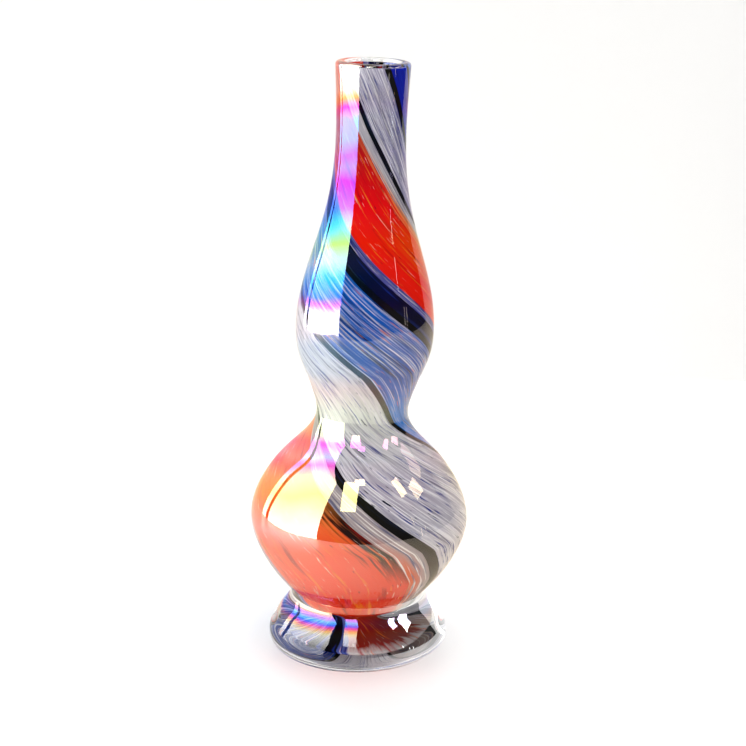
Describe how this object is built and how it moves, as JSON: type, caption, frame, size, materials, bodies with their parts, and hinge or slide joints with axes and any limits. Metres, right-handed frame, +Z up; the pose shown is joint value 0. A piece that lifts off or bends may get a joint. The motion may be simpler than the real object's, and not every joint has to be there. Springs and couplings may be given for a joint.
{
  "type": "hand-blown art glass vase",
  "caption": "Slender double-bulb hand-blown glass bud vase with twisted colour bands, dark threads and a clear spreading foot, for standing on a table and holding a few stems.",
  "frame": {"origin": "centre of the foot's base, on the surface it stands on", "axes": "+Z up along the foot's axis, from the base to the mouth; the body leans a little towards +X; -Y is the side that faces the viewer"},
  "size_m": [0.0921, 0.092, 0.2503],
  "materials": {
    "clear_glass": "clear, fire-polished",
    "iridised_clear_glass": "clear with an iridescent skin, fire-polished",
    "cobalt_glass": "cased under clear glass, glossy",
    "red_orange_glass": "cased under clear glass, glossy",
    "navy_glass": "cased under clear glass, glossy",
    "blue_streaked_glass": "cased under clear glass, glossy",
    "lilac_streaked_glass": "cased under clear glass, glossy",
    "pale_streaked_glass": "cased under clear glass, glossy",
    "white_frit_glass": "cased under clear glass, glossy",
    "dark_thread_glass": "cased under clear glass, glossy"
  },
  "bodies": {
    "root": {"inner_gather": "clear_glass", "outer_casing": "iridised_clear_glass", "foot": "clear_glass", "cobalt_patch": "cobalt_glass", "red_band": "red_orange_glass", "navy_band": "navy_glass", "blue_streak_band": "blue_streaked_glass", "lilac_streak_band": "lilac_streaked_glass", "pale_streak_band": "pale_streaked_glass", "white_frit_band": "white_frit_glass", "white_edge_thread": "dark_thread_glass", "cobalt_edge_thread": "dark_thread_glass", "blue_edge_thread": "dark_thread_glass", "navy_edge_thread": "dark_thread_glass"}
  },
  "joints": []
}
